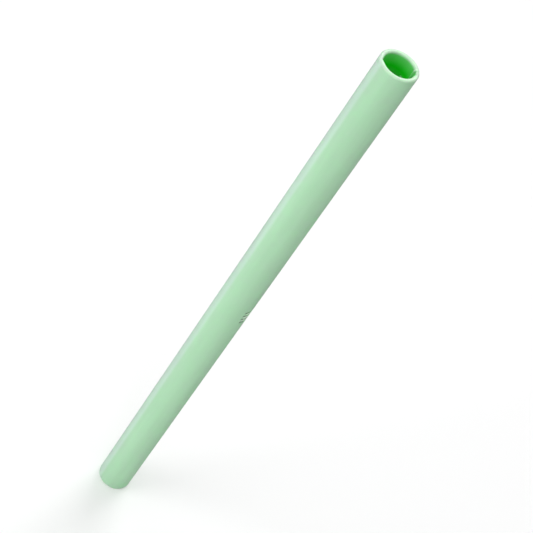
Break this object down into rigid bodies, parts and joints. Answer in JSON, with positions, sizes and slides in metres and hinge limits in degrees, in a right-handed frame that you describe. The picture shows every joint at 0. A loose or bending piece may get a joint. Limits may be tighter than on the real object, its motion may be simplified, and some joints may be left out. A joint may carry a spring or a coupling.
{
  "type": "openable reusable drinking straw",
  "caption": "Round straight tube split lengthwise into half shells, joined by a thin flexible back wall and closed by a tongue and groove along the front seam.",
  "frame": {"origin": "centre of the bottom end of the closed tube, on the surface it stands on", "axes": "+Z along the tube towards its other end, +X from the flexible back wall towards the closing seam, +Y towards the fixed half, -Y towards the half that opens"},
  "size_m": [0.0124, 0.0124, 0.23],
  "materials": {
    "mint_plastic": "satin translucent polypropylene",
    "mint_web": "satin translucent polypropylene, thinner"
  },
  "bodies": {
    "rear_half": {"rear_shell": "mint_plastic", "hinge_web": "mint_web", "tongue_rail": "mint_plastic", "rear_grip": "mint_plastic"},
    "front_half": {"front_shell": "mint_plastic", "catch_rail": "mint_plastic", "front_grip": "mint_plastic"}
  },
  "joints": [
    {"name": "back_hinge", "type": "hinge", "parent": "rear_half", "child": "front_half", "pos_m": [-0.0056, 0, 0.115], "axis": [0, 0, -1], "range_deg": [0, 110], "deforming": ["hinge_web"]}
  ]
}
